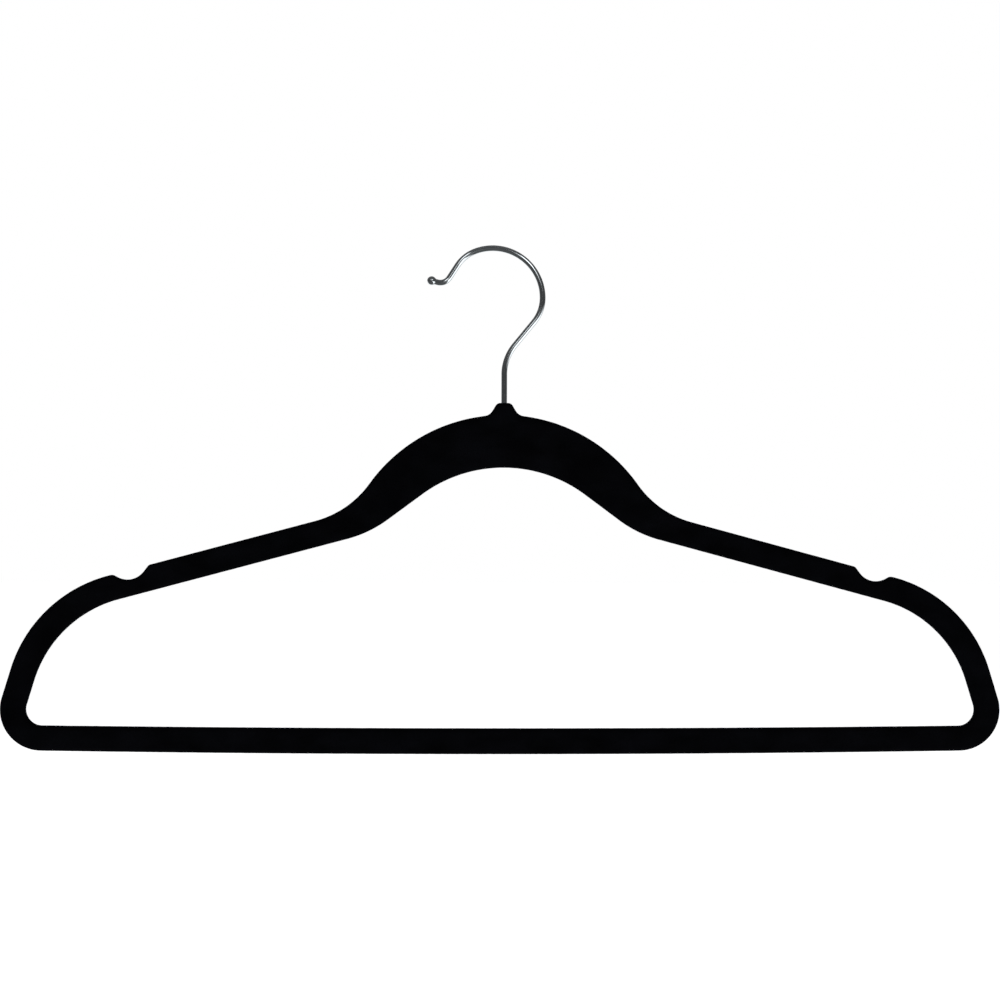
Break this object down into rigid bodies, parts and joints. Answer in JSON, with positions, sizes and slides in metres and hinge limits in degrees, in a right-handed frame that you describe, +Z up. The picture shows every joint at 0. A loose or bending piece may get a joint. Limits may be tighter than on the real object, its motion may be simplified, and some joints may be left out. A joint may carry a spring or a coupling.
{
  "type": "clothes hanger",
  "caption": "Slim flocked clothes hanger with sloping shoulders, strap notches, a closed trouser bar and a swivelling wire hook with a ball tip.",
  "frame": {"origin": "the point on the underside of the hook's crook that rests on the rail", "axes": "+Z up, +Y along the rail (across the hanger's flat face), +X from the hook's open side towards its closed side, along the hanger's width"},
  "size_m": [0.445, 0.0066, 0.2265],
  "materials": {
    "flock": "short dense black nylon pile",
    "core_plastic": "moulded black ABS",
    "ferrule_steel": "zinc plated",
    "chrome": "bright plated wire"
  },
  "bodies": {
    "hook": {"wire_hook": "chrome", "hook_tip_ball": "chrome"},
    "hanger": {"moulded_core": "core_plastic", "flock_coat": "flock", "swivel_ferrule": "ferrule_steel"}
  },
  "joints": [
    {"name": "hook_swivel", "type": "hinge", "parent": "hook", "child": "hanger", "pos_m": [0.00521, 0, -0.0808], "axis": [0, 0, 1], "continuous": true}
  ]
}
